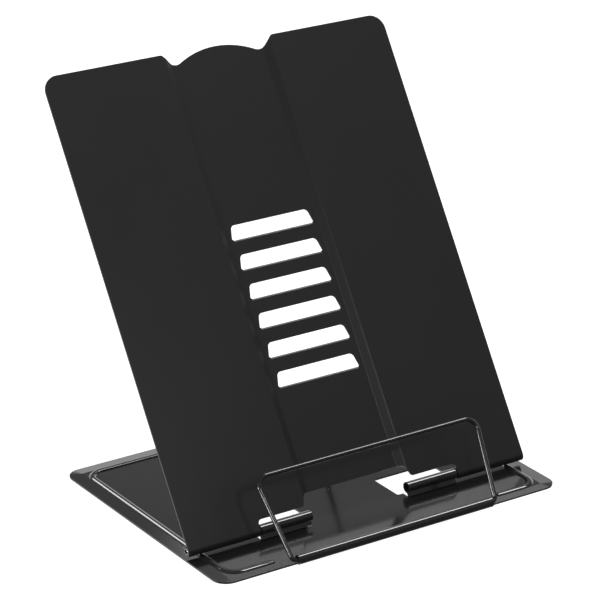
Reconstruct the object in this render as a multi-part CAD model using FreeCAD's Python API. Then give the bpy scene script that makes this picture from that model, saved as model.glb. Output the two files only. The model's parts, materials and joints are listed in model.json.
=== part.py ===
import FreeCAD, Part
import math
import os

# Folding book display stand in sheet steel and wire. Millimetres.
# The origin is the middle of the base plate's underside, +Z is up, and the reader faces +Y.
# The base plate carries a hinged back panel. A wire strut props the panel from behind, and a wire
# bail in the front edge keeps the pages open.

# ---- base plate ----
SHEET = 0.8
BASE_WIDTH = 199.2
BASE_DEPTH = 149.4
BASE_CORNER = 8.0

BEAD_HALF_WIDTH = 2.0
BEAD_RISE = 1.0
BEAD_X = 90.5
BEAD_FRONT_Y = -67.5
BEAD_REAR_Y = 67.0
BEAD_CORNER = 8.0
BEAD_END_X = 67.0

WINDOW_X = (25.5, 60.0)
WINDOW_Y = (-40.0, -18.7)
WINDOW_CORNER = 1.0
WINDOW_STEP_Y = -34.0

# ---- panel hinge ----
HINGE_Y = -42.8
HINGE_Z = 5.0
PIN_RADIUS = 2.0
RUNNING_GAP = 0.05
KNUCKLE_BORE = PIN_RADIUS + RUNNING_GAP
KNUCKLE_RADIUS = KNUCKLE_BORE + SHEET
KNUCKLE_X = (28.7, 57.8)
PIN_X = (36.0, 99.2)
PIN_CHAMFER = 0.4
PIN_HOLLOW_RADIUS = 1.1
PIN_HOLLOW_DEPTH = 2.5
TAB_RAMP = 1.6
TAB_FLAT = 0.5
TAB_BEND = 0.3
TAB_SWEEP = 290.0
TAB_LANCE = 3.0
TAB_CORNER = 0.3

# ---- front sleeve and page bail ----
BAIL_RADIUS = 1.2
SLEEVE_BORE = BAIL_RADIUS + RUNNING_GAP
SLEEVE_RADIUS = 2.4
SLEEVE_HALF_LENGTH = 57.0
SLEEVE_Y = -75.2
SLEEVE_Z = 2.5
SLEEVE_SWEEP = 310.0
BAIL_TILT = 54.0
BAIL_LENGTH = 42.8
BAIL_FOOT_X = 59.6
BAIL_TOP_X = 64.7
BAIL_FOOT_BEND = 2.7
BAIL_TOP_BEND = 5.8

# ---- back panel, in its own flat frame: X across, Y up the panel from the hinge, Z to the reader ----
PANEL_TILT = 57.2
PANEL_HALF_WIDTH = 99.2
PANEL_TOP = 237.6
PANEL_CORNER = 8.0
PANEL_FACE = KNUCKLE_RADIUS
BEND_INSIDE = 1.2
CHANNEL_DEPTH = 2.2
CHANNEL_FRONT_X = 30.5
CHANNEL_REAR_X = 26.5
CROWN_RADIUS = 48.0
VALLEY_RADIUS = 5.5
VALLEY_DEPTH = 5.8
SHOULDER_SLOPE = 47.0
SHOULDER_BEND = 2.5

SLOT_COUNT = 6
SLOT_FIRST_Y = 64.43
SLOT_PITCH = 15.14
SLOT_HEIGHT = 7.35
SLOT_TOP_X = 22.3
SLOT_BOTTOM_X = 24.1
SLOT_TOP_BEND = 2.5
SLOT_BOTTOM_BEND = 0.8
LIP_X = 23.2
LIP_BEND = 1.1
LIP_REACH = 0.4

CUTOUT_X = 30.0
CUTOUT_TOP = 11.3
CUTOUT_BEND = 4.0
CUTOUT_FLARE = 2.0
RELIEF_X = 58.5
RELIEF_TOP = 4.9
RELIEF_BEND = 2.0
CURL_X = (58.5, 99.2)
CURL_SWEEP = 300.0

# ---- support strut ----
STRUT_RADIUS = 1.4
STRUT_LEG_X = 21.0
STRUT_BEND = 5.0
STRUT_FOOT_BEND = 3.0
STRUT_FOOT_X = 36.0
STRUT_PIVOT_REACH = 65.0
STRUT_LENGTH = 58.26
STRUT_TILT = 119.6
STRUT_KNUCKLE_X = (25.8, 35.0)
STRUT_WINDOW_DEPTH = 13.0

PIVOT_Y = HINGE_Y + STRUT_PIVOT_REACH
PIVOT_Z = HINGE_Z
STRUT_BORE = STRUT_RADIUS + RUNNING_GAP
SIDES = (-1, 1)

# ---- allowances: cutting shapes reach past the metal, joined shapes reach into each other ----
OVERCUT = 5.0
OVERLAP = 1.0
CUT_LEVEL = -CHANNEL_DEPTH - OVERCUT
CUT_TOP = PANEL_FACE + OVERCUT


def vec(x, y, z):
    return FreeCAD.Vector(x, y, z)


def block(x0, x1, y0, y1, z0, z1):
    """Box between two x, two y and two z values."""
    return Part.makeBox(x1 - x0, y1 - y0, z1 - z0, vec(x0, y0, z0))


def fuse(shapes):
    """One clean solid from several touching ones."""
    return shapes[0].multiFuse(shapes[1:]).removeSplitter()


def rounded_path(points, radii, closed=False):
    """Edges of a polyline whose corners are rounded by the given radii; 0 keeps a corner sharp."""
    count = len(points)
    entries = []
    exits = []
    arcs = []
    for i, point in enumerate(points):
        is_end = not closed and i in (0, count - 1)
        if is_end or radii[i] == 0:
            entries.append(point)
            exits.append(point)
            arcs.append(None)
            continue
        incoming = (point - points[i - 1]).normalize()
        outgoing = (points[(i + 1) % count] - point).normalize()
        half_turn = incoming.getAngle(outgoing) / 2
        trim = radii[i] * math.tan(half_turn)
        sagitta = radii[i] / math.cos(half_turn) - radii[i]
        inward = (outgoing - incoming).normalize()
        entries.append(point - incoming * trim)
        exits.append(point + outgoing * trim)
        arcs.append(point + inward * sagitta)
    edges = []
    for i in range(count):
        if arcs[i]:
            edges.append(Part.Arc(entries[i], arcs[i], exits[i]).toShape())
        if closed or i < count - 1:
            edges.append(Part.LineSegment(exits[i], entries[(i + 1) % count]).toShape())
    return edges


def plate(points, radii, height):
    """Flat plate from a closed, rounded outline, extruded by the vector height."""
    outline = Part.Wire(rounded_path(points, radii, closed=True))
    return Part.Face(outline).extrude(height)


def rectangle(x0, x1, y0, y1, z0, z1, radius):
    """Plate with four equal rounded corners."""
    corners = [vec(x0, y0, z0), vec(x1, y0, z0), vec(x1, y1, z0), vec(x0, y1, z0)]
    return plate(corners, [radius] * 4, vec(0, 0, z1 - z0))


def bar_along(edges, radius):
    """Round bar that follows a path of lines and arcs."""
    pieces = []
    for edge in edges:
        start = edge.valueAt(edge.FirstParameter)
        heading = edge.tangentAt(edge.FirstParameter)
        section = Part.Wire([Part.makeCircle(radius, start, heading)])
        pieces.append(Part.Wire([edge]).makePipeShell([section], True, True))
    return fuse(pieces)


def curl(x0, x1, centre_y, centre_z, bore, first_angle, last_angle, wall=SHEET):
    """Rolled strip of sheet around an axis along X; angles in degrees from +Y towards +Z."""
    def on_circle(radius, angle):
        turn = math.radians(angle)
        return vec(x0, centre_y + radius * math.cos(turn), centre_z + radius * math.sin(turn))

    outside = bore + wall
    middle = (first_angle + last_angle) / 2
    outer = Part.Arc(*[on_circle(outside, a) for a in (first_angle, middle, last_angle)])
    inner = Part.Arc(*[on_circle(bore, a) for a in (last_angle, middle, first_angle)])
    ends = [
        Part.LineSegment(on_circle(outside, last_angle), on_circle(bore, last_angle)),
        Part.LineSegment(on_circle(bore, first_angle), on_circle(outside, first_angle)),
    ]
    outline = Part.Wire([outer.toShape(), ends[0].toShape(), inner.toShape(), ends[1].toShape()])
    return Part.Face(outline).extrude(vec(x1 - x0, 0, 0))


def rolled_tab(x0, x1, axis_y, axis_z, bore):
    """Knuckle of the base plate: the sheet ramps up and is rolled backwards over the top."""
    low = axis_z - bore - SHEET
    lead = SHEET * math.tan(math.atan2(low, TAB_RAMP - TAB_FLAT) / 2)
    side = [
        vec(x0, axis_y - TAB_RAMP, 0),
        vec(x0, axis_y - TAB_FLAT, low),
        vec(x0, axis_y, low),
        vec(x0, axis_y, low + SHEET),
        vec(x0, axis_y - TAB_FLAT - lead, low + SHEET),
        vec(x0, axis_y - TAB_RAMP - lead, SHEET),
        vec(x0, axis_y - TAB_LANCE - OVERLAP, SHEET),
        vec(x0, axis_y - TAB_LANCE - OVERLAP, 0),
    ]
    ramp = plate(side, [TAB_BEND, TAB_BEND, 0, 0, 0, TAB_BEND, 0, 0], vec(x1 - x0, 0, 0))
    return fuse([ramp, curl(x0, x1, axis_y, axis_z, bore, -90, -90 + TAB_SWEEP)])


def bead():
    """Raised stiffening bead, open at the front, and the groove that it leaves underneath."""
    radius = (BEAD_HALF_WIDTH ** 2 + BEAD_RISE ** 2) / (2 * BEAD_RISE)
    level = SHEET + BEAD_RISE - radius
    points = [
        vec(-BEAD_END_X, BEAD_FRONT_Y, level),
        vec(-BEAD_X, BEAD_FRONT_Y, level),
        vec(-BEAD_X, BEAD_REAR_Y, level),
        vec(BEAD_X, BEAD_REAR_Y, level),
        vec(BEAD_X, BEAD_FRONT_Y, level),
        vec(BEAD_END_X, BEAD_FRONT_Y, level),
    ]
    path = rounded_path(points, [0] + [BEAD_CORNER] * 4 + [0])

    def swept(bar_radius):
        caps = [Part.makeSphere(bar_radius, end) for end in (points[0], points[-1])]
        return fuse([bar_along(path, bar_radius)] + caps)

    above = block(-BASE_WIDTH, BASE_WIDTH, -BASE_DEPTH, BASE_DEPTH, SHEET / 2, SHEET + OVERCUT)
    return swept(radius).common(above), swept(radius - SHEET)


def window_cut(side):
    """Opening behind a front knuckle; its front part is only as wide as the knuckle's tab."""
    corners = [
        (WINDOW_X[0], WINDOW_Y[0]), (KNUCKLE_X[1], WINDOW_Y[0]), (KNUCKLE_X[1], WINDOW_STEP_Y),
        (WINDOW_X[1], WINDOW_STEP_Y), (WINDOW_X[1], WINDOW_Y[1]), (WINDOW_X[0], WINDOW_Y[1]),
    ]
    points = [vec(side * x, y, -OVERCUT) for x, y in corners]
    return plate(points, [WINDOW_CORNER] * len(points), vec(0, 0, 2 * OVERCUT))


def base_plate():
    """Pressed plate with bead, windows, knuckles rolled from its own metal, and the front sleeve."""
    half_width = BASE_WIDTH / 2
    half_depth = BASE_DEPTH / 2
    sheet = rectangle(-half_width, half_width, -half_depth, half_depth, 0, SHEET, BASE_CORNER)
    ridge, groove = bead()
    body = sheet.fuse(ridge).cut(groove)

    cuts = []
    sleeve = curl(-SLEEVE_HALF_LENGTH, SLEEVE_HALF_LENGTH, SLEEVE_Y, SLEEVE_Z, SLEEVE_BORE,
                  270 - SLEEVE_SWEEP, 270, SLEEVE_RADIUS - SLEEVE_BORE)
    joggle = block(-SLEEVE_HALF_LENGTH, SLEEVE_HALF_LENGTH, SLEEVE_Y, SLEEVE_Y + OVERLAP,
                   SLEEVE_Z - SLEEVE_RADIUS, SLEEVE_Z - SLEEVE_BORE)
    added = [sleeve, joggle]

    for side in SIDES:
        cuts.append(window_cut(side))
        x0, x1 = sorted(side * x for x in KNUCKLE_X)
        cuts.append(block(x0, x1, HINGE_Y - TAB_LANCE, WINDOW_Y[0] + 2 * OVERLAP,
                          -OVERCUT, OVERCUT))
        added.append(rolled_tab(x0, x1, HINGE_Y, HINGE_Z, KNUCKLE_BORE))
        x0, x1 = sorted(side * x for x in STRUT_KNUCKLE_X)
        cuts.append(rectangle(x0, x1, PIVOT_Y - TAB_LANCE, PIVOT_Y - TAB_LANCE + STRUT_WINDOW_DEPTH,
                              -OVERCUT, OVERCUT, TAB_CORNER))
        added.append(rolled_tab(x0, x1, PIVOT_Y, PIVOT_Z, STRUT_BORE))
    body = body.cut(cuts[0].multiFuse(cuts[1:]))
    return fuse([body] + added)


def panel_section():
    """Cross-section of the panel sheet with its recessed middle channel, in the XZ plane."""
    front = PANEL_FACE
    floor = PANEL_FACE - CHANNEL_DEPTH
    wall = math.atan2(CHANNEL_DEPTH, CHANNEL_FRONT_X - CHANNEL_REAR_X)
    shift = SHEET * math.tan(wall / 2)
    front_points = [
        (-PANEL_HALF_WIDTH, front), (-CHANNEL_FRONT_X, front), (-CHANNEL_REAR_X, floor),
        (CHANNEL_REAR_X, floor), (CHANNEL_FRONT_X, front), (PANEL_HALF_WIDTH, front),
    ]
    rear_points = [
        (PANEL_HALF_WIDTH, front - SHEET), (CHANNEL_FRONT_X + shift, front - SHEET),
        (CHANNEL_REAR_X + shift, floor - SHEET), (-CHANNEL_REAR_X - shift, floor - SHEET),
        (-CHANNEL_FRONT_X - shift, front - SHEET), (-PANEL_HALF_WIDTH, front - SHEET),
    ]
    outside = BEND_INSIDE + SHEET
    radii = [0, outside, BEND_INSIDE, BEND_INSIDE, outside, 0]
    radii += [0, BEND_INSIDE, outside, outside, BEND_INSIDE, 0]
    points = [vec(x, 0, z) for x, z in front_points + rear_points]
    return Part.Face(Part.Wire(rounded_path(points, radii, closed=True)))


def channel_end():
    """Prism that trims the channel's top end: a crown between two valleys, below the wings' edge."""
    crown_y = PANEL_TOP - CROWN_RADIUS
    valley_y = PANEL_TOP - VALLEY_DEPTH + VALLEY_RADIUS
    reach = CROWN_RADIUS + VALLEY_RADIUS
    valley_x = math.sqrt(reach ** 2 - (valley_y - crown_y) ** 2)
    slope = math.radians(SHOULDER_SLOPE)
    lean = math.atan2(valley_x, valley_y - crown_y)

    meeting = (CROWN_RADIUS * math.sin(lean), crown_y + CROWN_RADIUS * math.cos(lean))
    lowest = (valley_x, valley_y - VALLEY_RADIUS)
    leaving = (valley_x + VALLEY_RADIUS * math.sin(slope), valley_y - VALLEY_RADIUS * math.cos(slope))
    shoulder = (leaving[0] + (PANEL_TOP - leaving[1]) / math.tan(slope), PANEL_TOP)
    wing = (shoulder[0] + SHOULDER_BEND, PANEL_TOP)

    def on_side(side, point):
        return vec(side * point[0], point[1], CUT_LEVEL)

    crest = vec(0, PANEL_TOP, CUT_LEVEL)
    edges = [Part.Arc(on_side(-1, meeting), crest, on_side(1, meeting)).toShape()]
    for side in SIDES:
        edges.append(Part.Arc(*[on_side(side, p) for p in (meeting, lowest, leaving)]).toShape())
        line = [on_side(side, p) for p in (leaving, shoulder, wing)]
        edges += rounded_path(line, [0, SHOULDER_BEND, 0])
    above = (wing[0], PANEL_TOP + OVERCUT)
    rim = [on_side(-1, wing), on_side(-1, above), on_side(1, above), on_side(1, wing)]
    edges += rounded_path(rim, [0] * 4)
    outline = Part.Wire(Part.__sortEdges__(edges))
    return Part.Face(outline).extrude(vec(0, 0, CUT_TOP - CUT_LEVEL))


def panel_outline():
    """Prism that trims the panel: round top corners, channel end above, hinge cutouts below."""
    below = -KNUCKLE_RADIUS - OVERCUT
    half = [
        (PANEL_HALF_WIDTH, PANEL_TOP, PANEL_CORNER), (PANEL_HALF_WIDTH, below, 0),
        (RELIEF_X, below, 0), (RELIEF_X, RELIEF_TOP, RELIEF_BEND),
        (CUTOUT_X + CUTOUT_FLARE, RELIEF_TOP, RELIEF_BEND), (CUTOUT_X, CUTOUT_TOP, CUTOUT_BEND),
    ]
    corners = half + [(-x, y, r) for x, y, r in reversed(half)]
    points = [vec(x, y, CUT_LEVEL) for x, y, r in corners]
    radii = [r for x, y, r in corners]
    prism = plate(points, radii, vec(0, 0, CUT_TOP - CUT_LEVEL))
    return prism.cut(channel_end())


def slot_cut(bottom_y):
    """Opening of one strut slot, a little narrower at its top."""
    top_y = bottom_y + SLOT_HEIGHT
    points = [
        vec(-SLOT_BOTTOM_X, bottom_y, CUT_LEVEL), vec(SLOT_BOTTOM_X, bottom_y, CUT_LEVEL),
        vec(SLOT_TOP_X, top_y, CUT_LEVEL), vec(-SLOT_TOP_X, top_y, CUT_LEVEL),
    ]
    radii = [SLOT_BOTTOM_BEND, SLOT_BOTTOM_BEND, SLOT_TOP_BEND, SLOT_TOP_BEND]
    opening = plate(points, radii, vec(0, 0, CUT_TOP - CUT_LEVEL))
    lip_gap = block(-LIP_X, LIP_X, bottom_y - LIP_BEND, bottom_y + OVERLAP, CUT_LEVEL, CUT_TOP)
    return opening.fuse(lip_gap)


def slot_lip(bottom_y):
    """Lip along a slot's lower edge, bent to the rear to stop the strut."""
    floor = PANEL_FACE - CHANNEL_DEPTH
    inside = LIP_BEND - SHEET
    bend = curl(-LIP_X, LIP_X, bottom_y - LIP_BEND, floor - LIP_BEND, inside, 0, 90)
    leaf = block(-LIP_X, LIP_X, bottom_y - SHEET, bottom_y,
                 floor - LIP_BEND - LIP_REACH, floor - LIP_BEND)
    return fuse([bend, leaf])


def back_panel():
    """Panel sheet with channel, slots and bottom curls, tilted to its resting angle."""
    sheet = panel_section().extrude(vec(0, PANEL_TOP + OVERCUT, 0))
    sheet = sheet.common(panel_outline())
    slots = [SLOT_FIRST_Y + i * SLOT_PITCH for i in range(SLOT_COUNT)]
    cuts = [slot_cut(y) for y in slots]
    added = [slot_lip(y) for y in slots]
    for side in SIDES:
        x0, x1 = sorted(side * x for x in CURL_X)
        added.append(curl(x0, x1, 0, 0, KNUCKLE_BORE, 90, 90 + CURL_SWEEP))
    body = sheet.cut(cuts[0].multiFuse(cuts[1:]))
    panel = fuse([body] + added)
    panel.rotate(vec(0, 0, 0), vec(1, 0, 0), PANEL_TILT)
    panel.translate(vec(0, HINGE_Y, HINGE_Z))
    return panel


def hinge_pin(side):
    """Pin through a base knuckle and the panel curl beside it; its outer end is drilled hollow."""
    inner, outer = (vec(side * x, HINGE_Y, HINGE_Z) for x in PIN_X)
    pin = Part.makeCylinder(PIN_RADIUS, (outer - inner).Length, inner, vec(side, 0, 0))
    rims = [edge for edge in pin.Edges if len(edge.Vertexes) == 1]
    pin = pin.makeChamfer(PIN_CHAMFER, rims)
    return pin.cut(Part.makeCylinder(PIN_HOLLOW_RADIUS, PIN_HOLLOW_DEPTH, outer, vec(-side, 0, 0)))


def page_bail():
    """Closed wire loop: its foot turns in the front sleeve, its legs splay up to the top bar."""
    points = [
        vec(-BAIL_FOOT_X, 0, 0), vec(BAIL_FOOT_X, 0, 0),
        vec(BAIL_TOP_X, BAIL_LENGTH, 0), vec(-BAIL_TOP_X, BAIL_LENGTH, 0),
    ]
    radii = [BAIL_FOOT_BEND, BAIL_FOOT_BEND, BAIL_TOP_BEND, BAIL_TOP_BEND]
    loop = bar_along(rounded_path(points, radii, closed=True), BAIL_RADIUS)
    loop.rotate(vec(0, 0, 0), vec(1, 0, 0), BAIL_TILT)
    loop.translate(vec(0, SLEEVE_Y, SLEEVE_Z))
    return loop


def support_strut():
    """Open wire frame: a top bar behind the slots, two legs, and feet that turn outwards."""
    points = [
        vec(-STRUT_FOOT_X, 0, 0), vec(-STRUT_LEG_X, 0, 0), vec(-STRUT_LEG_X, STRUT_LENGTH, 0),
        vec(STRUT_LEG_X, STRUT_LENGTH, 0), vec(STRUT_LEG_X, 0, 0), vec(STRUT_FOOT_X, 0, 0),
    ]
    radii = [0, STRUT_FOOT_BEND, STRUT_BEND, STRUT_BEND, STRUT_FOOT_BEND, 0]
    frame = bar_along(rounded_path(points, radii), STRUT_RADIUS)
    frame.rotate(vec(0, 0, 0), vec(1, 0, 0), STRUT_TILT)
    frame.translate(vec(0, PIVOT_Y, PIVOT_Z))
    return frame


NODES = {
    "base_plate": base_plate,
    "back_panel": back_panel,
    "hinge_pin_left": lambda: hinge_pin(-1),
    "hinge_pin_right": lambda: hinge_pin(1),
    "page_bail": page_bail,
    "support_strut": support_strut,
}

os.makedirs("parts", exist_ok=True)
for name, make in NODES.items():
    shape = make()
    print(name, shape.isValid(), len(shape.Solids), round(shape.Volume, 1), shape.BoundBox)
    shape.exportStep("parts/" + name + ".step")
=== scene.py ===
import bpy
import bmesh
import json
import math
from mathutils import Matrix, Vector


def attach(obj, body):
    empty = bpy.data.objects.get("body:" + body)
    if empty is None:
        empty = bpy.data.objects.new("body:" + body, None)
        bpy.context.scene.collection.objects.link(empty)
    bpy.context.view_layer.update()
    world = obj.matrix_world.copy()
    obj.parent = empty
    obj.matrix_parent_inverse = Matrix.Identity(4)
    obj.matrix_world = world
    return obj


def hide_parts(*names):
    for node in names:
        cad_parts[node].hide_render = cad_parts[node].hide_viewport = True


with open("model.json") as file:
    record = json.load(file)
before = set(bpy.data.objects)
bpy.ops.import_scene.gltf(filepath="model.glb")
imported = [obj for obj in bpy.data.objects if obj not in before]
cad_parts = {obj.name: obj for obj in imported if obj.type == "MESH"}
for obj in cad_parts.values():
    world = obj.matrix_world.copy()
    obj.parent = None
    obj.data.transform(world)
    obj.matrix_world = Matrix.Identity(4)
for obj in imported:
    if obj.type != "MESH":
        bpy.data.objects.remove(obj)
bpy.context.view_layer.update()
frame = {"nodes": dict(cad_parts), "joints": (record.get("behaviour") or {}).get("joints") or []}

# ---- camera: a long lens from the front left, above the stand ----
CAMERA_LENS = 181.62
CAMERA_SENSOR = 36.0
CAMERA_AZIMUTH = -33.85
CAMERA_ELEVATION = 22.49
CAMERA_DISTANCE = 1.47697
CAMERA_TARGET = Vector((0.0, -0.015, 0.0808))
CAMERA_SHIFT = (-0.0451, 0.0680)

# ---- studio: brightness of the room by direction, and the lamps ----
ROOM_LEVEL = 0.255
LOW_ROOM_LEVEL = 0.04
ROOM_RISE = (0.02, 0.42)
SWEEP_LEVEL = 1.3
SWEEP_FADE = (0.20, 0.42)
SWEEP_BEHIND = (-0.1, 0.45)
FLOOR_HALF = 6.0
FLOOR_TONE = 0.35
FLOOR_ROUGHNESS = 0.9
FLOOR_GLOW = 0.93

# Name, location, target, width and height in metres, power in watts.
LAMPS = (
    ("overhead", (0.80, 0.14, 1.38), (0, 0, 0.05), (0.50, 0.62), 11.3),
    ("left_strip", (-1.30, 0.17, 0.30), (0, -0.05, 0.05), (0.20, 0.28), 6.5),
    ("rear_band", (0.53, 0.68, 0.68), (0, -0.07, 0), (0.56, 0.22), 0.40),
    ("left_low", (-1.21, -0.39, 0.14), (-0.06, -0.06, 0.02), (0.30, 0.12), 4.0),
    ("rear_high", (-0.16, 0.85, 0.77), (-0.08, 0, 0), (0.45, 0.35), 4.0),
    ("front_spot", (-0.03, -0.42, 0.33), (0, -0.04, 0.03), (0.05, 0.07), 0.22),
)

# ---- finishes, lengths in metres ----
ENAMEL_IOR = 1.62
# Each noise's size and its detail.
WAVES = (0.030, 1.0)
CLOUDS = (0.060, 2.0)
SPECKS = (0.0009, 2.0)
# Size of the patches of painted edge highlight.
EDGE_HIGHLIGHT_PATCHES = (0.0045, 4.0)
GRAIN_DETAIL = 3.0
CLOUD_BAND = (0.3, 0.7)
SPECK_BAND = (0.66, 0.78)
# Band of the noise that lays on the painted edge highlight patches.
EDGE_HIGHLIGHT_BAND = (0.42, 0.64)
GLOSS_SPREAD = (0.96, 1.04)
TONE_SPREAD = (0.97, 1.03)
SPECK_ROUGHNESS = 0.3
# How far the patches go towards the painted edge highlight tone.
EDGE_HIGHLIGHT_MOST = 0.8
FLANGE_X = 0.0925
FLANGE_Y = 0.0690
FLANGE_DROOP = 0.10

# ---- rounded edges of the sheets and pins ----
SHEET_EDGE_WIDTH = 0.00018
SHEET_EDGE_SEGMENTS = 2
PIN_EDGE_WIDTH = 0.00012
PIN_EDGE_SEGMENTS = 3
SHARP_ANGLE = math.radians(32)
FLAT_ANGLE = math.radians(0.3)
MERGE_DISTANCE = 2e-6
NORMAL_WEIGHT = 50

# ---- wires: centre lines drawn flat, then tilted about the joint's axis ----
BAIL_RADIUS = 0.0012
BAIL_TILT = math.radians(54.0)
BAIL_LENGTH = 0.0428
BAIL_FOOT_X = 0.0596
BAIL_TOP_X = 0.0647
BAIL_FOOT_BEND = 0.0027
BAIL_TOP_BEND = 0.0058
STRUT_RADIUS = 0.0014
STRUT_TILT = math.radians(119.6)
STRUT_LENGTH = 0.05826
STRUT_LEG_X = 0.0210
STRUT_FOOT_X = 0.0360
STRUT_TOP_BEND = 0.005
STRUT_FOOT_BEND = 0.003
BEND_STEPS = 14
RING_SPACING = 0.00399
RING_SIDES = 24
END_CHAMFER = 0.0003
END_NARROWING = 0.8


def aim(thing, direction):
    """Turn a camera or a lamp so that it looks along a direction."""
    thing.rotation_mode = "QUATERNION"
    thing.rotation_quaternion = direction.to_track_quat("-Z", "Y")


def make_camera():
    azimuth = math.radians(CAMERA_AZIMUTH)
    elevation = math.radians(CAMERA_ELEVATION)
    back = Vector((
        math.sin(azimuth) * math.cos(elevation),
        -math.cos(azimuth) * math.cos(elevation),
        math.sin(elevation),
    ))
    data = bpy.data.cameras.new("camera")
    data.lens = CAMERA_LENS
    data.sensor_width = CAMERA_SENSOR
    data.shift_x, data.shift_y = CAMERA_SHIFT
    camera = bpy.data.objects.new("camera", data)
    camera.location = CAMERA_TARGET + back * CAMERA_DISTANCE
    aim(camera, -back)
    bpy.context.collection.objects.link(camera)
    bpy.context.scene.camera = camera


# ---- node helpers ----
def math_node(tree, operation, *values):
    node = tree.nodes.new("ShaderNodeMath")
    node.operation = operation
    for socket, value in zip(node.inputs, values):
        if isinstance(value, (int, float)):
            socket.default_value = value
        else:
            tree.links.new(value, socket)
    return node.outputs[0]


def noise(tree, coords, size, detail):
    node = tree.nodes.new("ShaderNodeTexNoise")
    node.inputs["Scale"].default_value = 1.0 / size
    node.inputs["Detail"].default_value = detail
    tree.links.new(coords.outputs["Object"], node.inputs["Vector"])
    return node.outputs["Fac"]


def remap(tree, value, band, first, last, blend="LINEAR"):
    """Carry a value from first to last while it crosses the band."""
    node = tree.nodes.new("ShaderNodeMapRange")
    node.interpolation_type = blend
    node.inputs["From Min"].default_value, node.inputs["From Max"].default_value = band
    node.inputs["To Min"].default_value = first
    node.inputs["To Max"].default_value = last
    tree.links.new(value, node.inputs["Value"])
    return node.outputs[0]


def bump(tree, height, distance, under=None):
    node = tree.nodes.new("ShaderNodeBump")
    node.inputs["Distance"].default_value = distance
    tree.links.new(height, node.inputs["Height"])
    if under is not None:
        tree.links.new(under, node.inputs["Normal"])
    return node.outputs["Normal"]


def new_material(name):
    material = bpy.data.materials.new(name)
    material.use_nodes = True
    return material, material.node_tree, material.node_tree.nodes["Principled BSDF"]


# ---- studio ----
def make_world():
    """Soft studio room: grey, darker towards the ground, with a white sweep low behind the stand."""
    world = bpy.data.worlds.new("studio")
    world.use_nodes = True
    tree = world.node_tree
    background = tree.nodes["Background"]
    background.inputs["Color"].default_value = (1, 1, 1, 1)
    coords = tree.nodes.new("ShaderNodeTexCoord")
    direction = tree.nodes.new("ShaderNodeSeparateXYZ")
    tree.links.new(coords.outputs["Generated"], direction.inputs[0])
    behind = remap(tree, direction.outputs["Y"], SWEEP_BEHIND, 0.0, 1.0, "SMOOTHSTEP")
    low = remap(tree, direction.outputs["Z"], SWEEP_FADE, SWEEP_LEVEL, 0.0, "SMOOTHSTEP")
    room = remap(tree, direction.outputs["Z"], ROOM_RISE, LOW_ROOM_LEVEL, ROOM_LEVEL, "SMOOTHSTEP")
    sweep = math_node(tree, "MULTIPLY", behind, low)
    tree.links.new(math_node(tree, "ADD", room, sweep), background.inputs["Strength"])
    bpy.context.scene.world = world


def make_lamp(name, location, target, size, power):
    data = bpy.data.lights.new(name, "AREA")
    data.shape = "RECTANGLE"
    data.size, data.size_y = size
    data.energy = power
    lamp = bpy.data.objects.new(name, data)
    lamp.location = location
    aim(lamp, Vector(target) - Vector(location))
    lamp.visible_camera = False
    bpy.context.collection.objects.link(lamp)


def make_floor():
    """White sweep, lit to pure white. Reflections on the object see the dim room below instead."""
    mesh = bpy.data.meshes.new("floor")
    corners = [(x * FLOOR_HALF, y * FLOOR_HALF, 0) for x, y in ((-1, -1), (1, -1), (1, 1), (-1, 1))]
    mesh.from_pydata(corners, [], [(0, 1, 2, 3)])
    floor = bpy.data.objects.new("floor", mesh)
    floor.visible_glossy = False
    bpy.context.collection.objects.link(floor)
    material, _, shader = new_material("white_sweep")
    shader.inputs["Base Color"].default_value = (FLOOR_TONE, FLOOR_TONE, FLOOR_TONE, 1)
    shader.inputs["Roughness"].default_value = FLOOR_ROUGHNESS
    shader.inputs["Specular IOR Level"].default_value = 0.0
    shader.inputs["Emission Color"].default_value = (1, 1, 1, 1)
    shader.inputs["Emission Strength"].default_value = FLOOR_GLOW
    mesh.materials.append(material)


# ---- finishes ----
def drooping_flange(tree, coords):
    """Shading normal of the plate's rim, which droops a few degrees outside the pressed bead."""
    split = tree.nodes.new("ShaderNodeSeparateXYZ")
    tree.links.new(coords.outputs["Object"], split.inputs[0])
    squares = []
    for axis, start in (("X", FLANGE_X), ("Y", FLANGE_Y)):
        reach = math_node(tree, "ABSOLUTE", split.outputs[axis])
        past = math_node(tree, "MAXIMUM", math_node(tree, "SUBTRACT", reach, start), 0.0)
        squares.append(math_node(tree, "MULTIPLY", past, past))
    past = math_node(tree, "SQRT", math_node(tree, "ADD", *squares))
    return bump(tree, math_node(tree, "MULTIPLY", past, -FLANGE_DROOP), 1.0)


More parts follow.
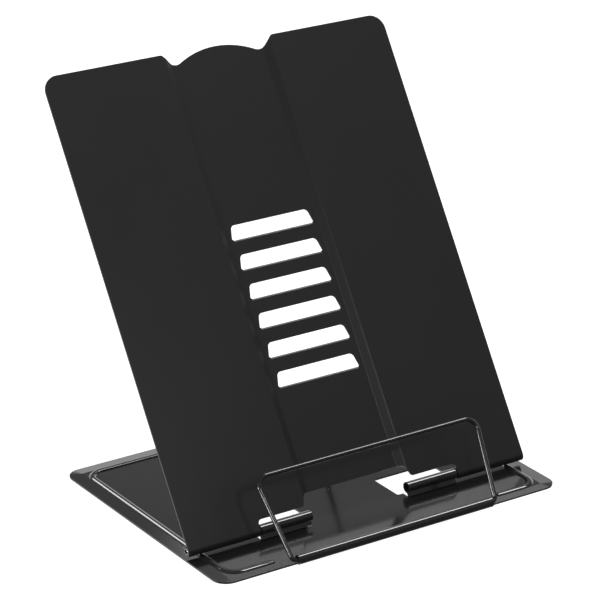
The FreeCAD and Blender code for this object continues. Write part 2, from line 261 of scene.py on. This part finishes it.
def coated_steel(name, tone, roughness, grain_size, grain_depth, wave_depth=0.0, edge_highlight=None,
                 droop=False):
    """Black finish on steel: orange peel, slow waves in the sheet, slightly uneven gloss and tone.

    Given an edge_highlight tone, the colour is lightened towards it in patches: a painted highlight for
    the rounded edges.
    """
    material, tree, shader = new_material(name)
    coords = tree.nodes.new("ShaderNodeTexCoord")

    rim = drooping_flange(tree, coords) if droop else None
    waves = bump(tree, noise(tree, coords, *WAVES), wave_depth, rim)
    grain = bump(tree, noise(tree, coords, grain_size, GRAIN_DETAIL), grain_depth, waves)
    tree.links.new(grain, shader.inputs["Normal"])

    cloud = noise(tree, coords, *CLOUDS)
    speck = noise(tree, coords, *SPECKS)
    gloss = remap(tree, cloud, CLOUD_BAND, *(roughness * share for share in GLOSS_SPREAD))
    specks = remap(tree, speck, SPECK_BAND, 0.0, roughness * SPECK_ROUGHNESS)
    tree.links.new(math_node(tree, "ADD", gloss, specks), shader.inputs["Roughness"])

    shade = tree.nodes.new("ShaderNodeVectorMath")
    shade.operation = "SCALE"
    shade.inputs[0].default_value = tone
    tree.links.new(remap(tree, cloud, CLOUD_BAND, *TONE_SPREAD), shade.inputs["Scale"])
    # Painted highlight: patches of the colour lightened towards the edge_highlight tone.
    mix = tree.nodes.new("ShaderNodeMix")
    mix.data_type = "RGBA"
    mix.inputs["B"].default_value = (*(edge_highlight or tone), 1)
    highlight_patches = noise(tree, coords, *EDGE_HIGHLIGHT_PATCHES)
    tree.links.new(remap(tree, highlight_patches, EDGE_HIGHLIGHT_BAND, 0.0, EDGE_HIGHLIGHT_MOST), mix.inputs["Factor"])
    tree.links.new(shade.outputs[0], mix.inputs["A"])
    tree.links.new(mix.outputs["Result"], shader.inputs["Base Color"])
    return material


# ---- pieces ----
def eased_copy(node, width, segments):
    """A copy of a CAD node with its flat faces merged and its sharp edges rounded by a small radius."""
    mesh = frame["nodes"][node].data.copy()
    mesh.name = node + "_formed"
    piece = bpy.data.objects.new(node + "_formed", mesh)
    bpy.context.collection.objects.link(piece)
    edit = bmesh.new()
    edit.from_mesh(mesh)
    bmesh.ops.remove_doubles(edit, verts=edit.verts, dist=MERGE_DISTANCE)
    bmesh.ops.dissolve_limit(edit, angle_limit=FLAT_ANGLE, verts=edit.verts, edges=edit.edges)
    for face in edit.faces:
        face.smooth = True
    edit.to_mesh(mesh)
    edit.free()
    bevel = piece.modifiers.new("edges", "BEVEL")
    bevel.width = width
    bevel.segments = segments
    bevel.limit_method = "ANGLE"
    bevel.angle_limit = SHARP_ANGLE
    bevel.harden_normals = True
    # The rounded edges take the second material, the lighter copy with the painted edge highlight.
    bevel.material = 1
    bevel.use_clamp_overlap = True
    weighted = piece.modifiers.new("shading", "WEIGHTED_NORMAL")
    weighted.keep_sharp = True
    weighted.weight = NORMAL_WEIGHT
    return piece


def centre_line(points, bends, closed):
    """Points along a bent wire: each corner becomes an arc of its own bend radius."""
    count = len(points)
    path = []
    for i, (point, bend) in enumerate(zip(points, bends)):
        if not closed and i in (0, count - 1):
            path.append(point.copy())
            continue
        incoming = (point - points[i - 1]).normalized()
        outgoing = (points[(i + 1) % count] - point).normalized()
        turn = incoming.angle(outgoing)
        axis = incoming.cross(outgoing).normalized()
        start = point - incoming * bend * math.tan(turn / 2)
        centre = start + axis.cross(incoming) * bend
        arm = start - centre
        for k in range(BEND_STEPS + 1):
            angle = turn * k / BEND_STEPS
            path.append(centre + arm * math.cos(angle) + axis.cross(arm) * math.sin(angle))
    return path


def evenly_spaced(path, closed):
    """The same line with extra points on its long straight runs.

    The spacing is a hair under 4 mm, so a run of whole spacings is never counted one short.
    """
    total = len(path)
    dense = []
    for i in range(total if closed else total - 1):
        here, there = path[i], path[(i + 1) % total]
        parts = max(1, int((there - here).length / RING_SPACING))
        for k in range(parts):
            dense.append(here.lerp(there, k / parts))
    if not closed:
        dense.append(path[-1])
    return dense


def bridge(edit, first, second):
    """Quads between two rings of vertices."""
    for k in range(RING_SIDES):
        m = (k + 1) % RING_SIDES
        edit.faces.new((first[k], first[m], second[m], second[k]))


def close_end(edit, ring, centre, inward):
    """A chamfered, flat end, inside the wire's own length."""
    step = inward.normalized() * END_CHAMFER
    cap = [edit.verts.new(centre + (vertex.co - centre) * END_NARROWING) for vertex in ring]
    for vertex in ring:
        vertex.co += step
    bridge(edit, ring, cap)
    edit.faces.new(cap)


def swept_wire(name, points, bends, radius, closed):
    """Round wire along a bent centre line. An open wire gets chamfered ends."""
    line = evenly_spaced(centre_line(points, bends, closed), closed)
    total = len(line)
    plane = (points[1] - points[0]).cross(points[2] - points[1]).normalized()
    edit = bmesh.new()
    rings = []
    for i, centre in enumerate(line):
        before = line[i - 1] if closed or i > 0 else centre
        after = line[(i + 1) % total] if closed or i < total - 1 else centre
        across = (after - before).normalized().cross(plane).normalized()
        ring = []
        for k in range(RING_SIDES):
            angle = math.tau * k / RING_SIDES
            arm = across * math.cos(angle) + plane * math.sin(angle)
            ring.append(edit.verts.new(centre + arm * radius))
        rings.append(ring)
    for first, second in zip(rings, rings[1:]):
        bridge(edit, first, second)
    if closed:
        bridge(edit, rings[-1], rings[0])
    else:
        close_end(edit, rings[0], line[0], line[1] - line[0])
        close_end(edit, rings[-1], line[-1], line[-2] - line[-1])
    bmesh.ops.recalc_face_normals(edit, faces=edit.faces)
    for face in edit.faces:
        face.smooth = True
    mesh = bpy.data.meshes.new(name)
    edit.to_mesh(mesh)
    edit.free()
    piece = bpy.data.objects.new(name, mesh)
    bpy.context.collection.objects.link(piece)
    return piece


def tilted(points, angle, origin):
    """Points of a flat drawing, tilted about the X axis and moved to their origin."""
    return [origin + Vector((x, y * math.cos(angle), y * math.sin(angle))) for x, y in points]


def joint_place(name):
    joint = next(j for j in frame["joints"] if j["name"] == name)
    return Vector(joint["pos_m"])


def make_bail():
    """The page holder: one closed loop, wider at its top than in the sleeve."""
    points = [(-BAIL_FOOT_X, 0), (BAIL_FOOT_X, 0), (BAIL_TOP_X, BAIL_LENGTH), (-BAIL_TOP_X, BAIL_LENGTH)]
    bends = [BAIL_FOOT_BEND, BAIL_FOOT_BEND, BAIL_TOP_BEND, BAIL_TOP_BEND]
    points = tilted(points, BAIL_TILT, joint_place("bail_tilt"))
    return swept_wire("page_bail_wire", points, bends, BAIL_RADIUS, closed=True)


def make_strut():
    """The rear prop: a top bar, two legs and two feet that turn outwards into the knuckles."""
    points = [
        (-STRUT_FOOT_X, 0), (-STRUT_LEG_X, 0), (-STRUT_LEG_X, STRUT_LENGTH),
        (STRUT_LEG_X, STRUT_LENGTH), (STRUT_LEG_X, 0), (STRUT_FOOT_X, 0),
    ]
    bends = [0, STRUT_FOOT_BEND, STRUT_TOP_BEND, STRUT_TOP_BEND, STRUT_FOOT_BEND, 0]
    points = tilted(points, STRUT_TILT, joint_place("strut_swing"))
    return swept_wire("support_strut_wire", points, bends, STRUT_RADIUS, closed=False)


def place(piece, body, node, slot, *materials):
    piece.data.materials.clear()
    for material in materials:
        piece.data.materials.append(material)
    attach(piece, body)
    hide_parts(node)


make_camera()
make_world()
make_floor()
for lamp in LAMPS:
    make_lamp(*lamp)
bpy.context.scene.view_settings.view_transform = "Standard"

PANEL_COAT = coated_steel("panel_coat", (0.012, 0.012, 0.0125), roughness=0.36,
                          grain_size=0.0006, grain_depth=0.00001, wave_depth=0.00003)
# Lighter copy of the panel coat for its rounded edges: a painted edge highlight.
PANEL_EDGE_HIGHLIGHT = coated_steel("panel_coat_edge_highlight", (0.016, 0.016, 0.0165), roughness=0.34,
                          grain_size=0.0006, grain_depth=0.000008, edge_highlight=(0.14, 0.14, 0.141))
BASE_ENAMEL = coated_steel("base_enamel", (0.013, 0.013, 0.0135), roughness=0.13,
                           grain_size=0.0011, grain_depth=0.000003, wave_depth=0.00005, droop=True)
# Lighter copy of the base enamel for its rounded edges: a painted edge highlight.
BASE_EDGE_HIGHLIGHT = coated_steel("base_enamel_edge_highlight", (0.014, 0.014, 0.0145), roughness=0.13,
                         grain_size=0.0011, grain_depth=0.000003, edge_highlight=(0.10, 0.10, 0.101))
WIRE_ENAMEL = coated_steel("wire_enamel", (0.010, 0.010, 0.0105), roughness=0.12,
                           grain_size=0.0011, grain_depth=0.000004)
PIN_STEEL = coated_steel("pin_steel", (0.12, 0.12, 0.125), roughness=0.30,
                         grain_size=0.0004, grain_depth=0.000006)
# Lighter copy of the pin steel for the pins' rounded rims: a painted highlight.
PIN_EDGE = coated_steel("pin_steel_edge_highlight", (0.2, 0.2, 0.205), roughness=0.22,
                        grain_size=0.0004, grain_depth=0.000004, edge_highlight=(0.45, 0.45, 0.45))
for enamel in (BASE_ENAMEL, BASE_EDGE_HIGHLIGHT, WIRE_ENAMEL):
    enamel.node_tree.nodes["Principled BSDF"].inputs["IOR"].default_value = ENAMEL_IOR
for metal in (PIN_STEEL, PIN_EDGE):
    metal.node_tree.nodes["Principled BSDF"].inputs["Metallic"].default_value = 1.0

place(eased_copy("base_plate", SHEET_EDGE_WIDTH, SHEET_EDGE_SEGMENTS),
      "base", "base_plate", "base_enamel", BASE_ENAMEL, BASE_EDGE_HIGHLIGHT)
place(eased_copy("back_panel", SHEET_EDGE_WIDTH, SHEET_EDGE_SEGMENTS),
      "panel", "back_panel", "panel_coat", PANEL_COAT, PANEL_EDGE_HIGHLIGHT)
for side in ("left", "right"):
    pin = "hinge_pin_" + side
    place(eased_copy(pin, PIN_EDGE_WIDTH, PIN_EDGE_SEGMENTS),
          "base", pin, "pin_steel", PIN_STEEL, PIN_EDGE)
place(make_bail(), "bail", "page_bail", "bail_wire", WIRE_ENAMEL)
place(make_strut(), "strut", "support_strut", "strut_wire", WIRE_ENAMEL)
